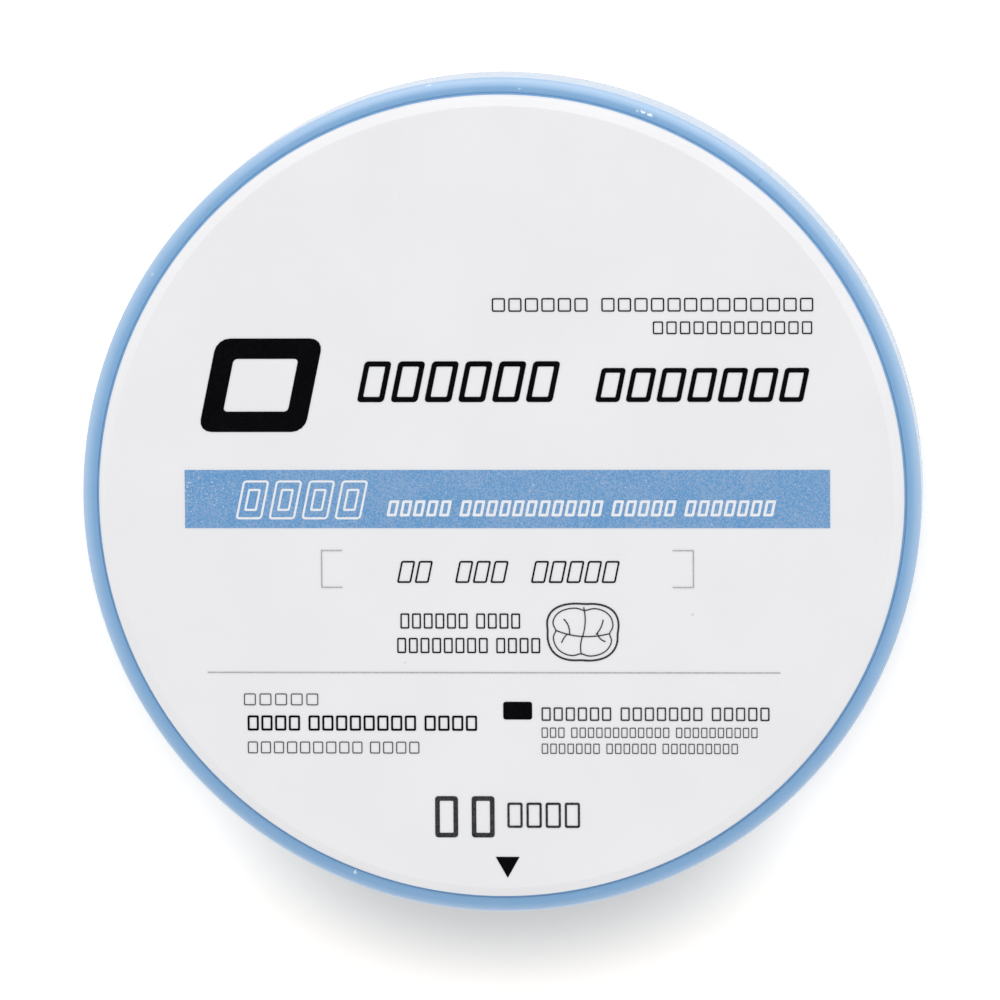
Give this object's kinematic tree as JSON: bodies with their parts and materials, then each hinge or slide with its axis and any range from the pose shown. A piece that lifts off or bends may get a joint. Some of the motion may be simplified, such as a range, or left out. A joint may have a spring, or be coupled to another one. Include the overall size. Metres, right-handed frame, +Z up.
{
  "type": "dental milling disc",
  "caption": "Round white ceramic milling blank with chamfered faces, bonded in a blue plastic holder ring, with a blue bar, thin lines and small marks printed on its face.",
  "frame": {"origin": "centre of the disc's lower face, on the surface that it lies on", "axes": "+Z up along the disc's axis, out of the printed face; +X along the printed bar, to the reader's right; +Y towards the top of the print"},
  "size_m": [0.0984, 0.0984, 0.0141],
  "materials": {
    "zirconia": "matt, chalky, pre-sintered",
    "collar_plastic": "moulded, satin",
    "blue_ink": "thin printed ink, slightly speckled by the chalky face under it",
    "grey_ink": "thin printed ink",
    "dark_ink": "thin printed ink",
    "black_ink": "thin printed ink"
  },
  "bodies": {
    "root": {"zirconia_blank": "zirconia", "collar_ring": "collar_plastic", "band_print": "blue_ink", "divider_print": "grey_ink", "bracket_print_left": "grey_ink", "bracket_print_right": "grey_ink", "tooth_outline_print": "dark_ink", "tooth_groove_print": "dark_ink", "marker_print": "black_ink"}
  },
  "joints": []
}
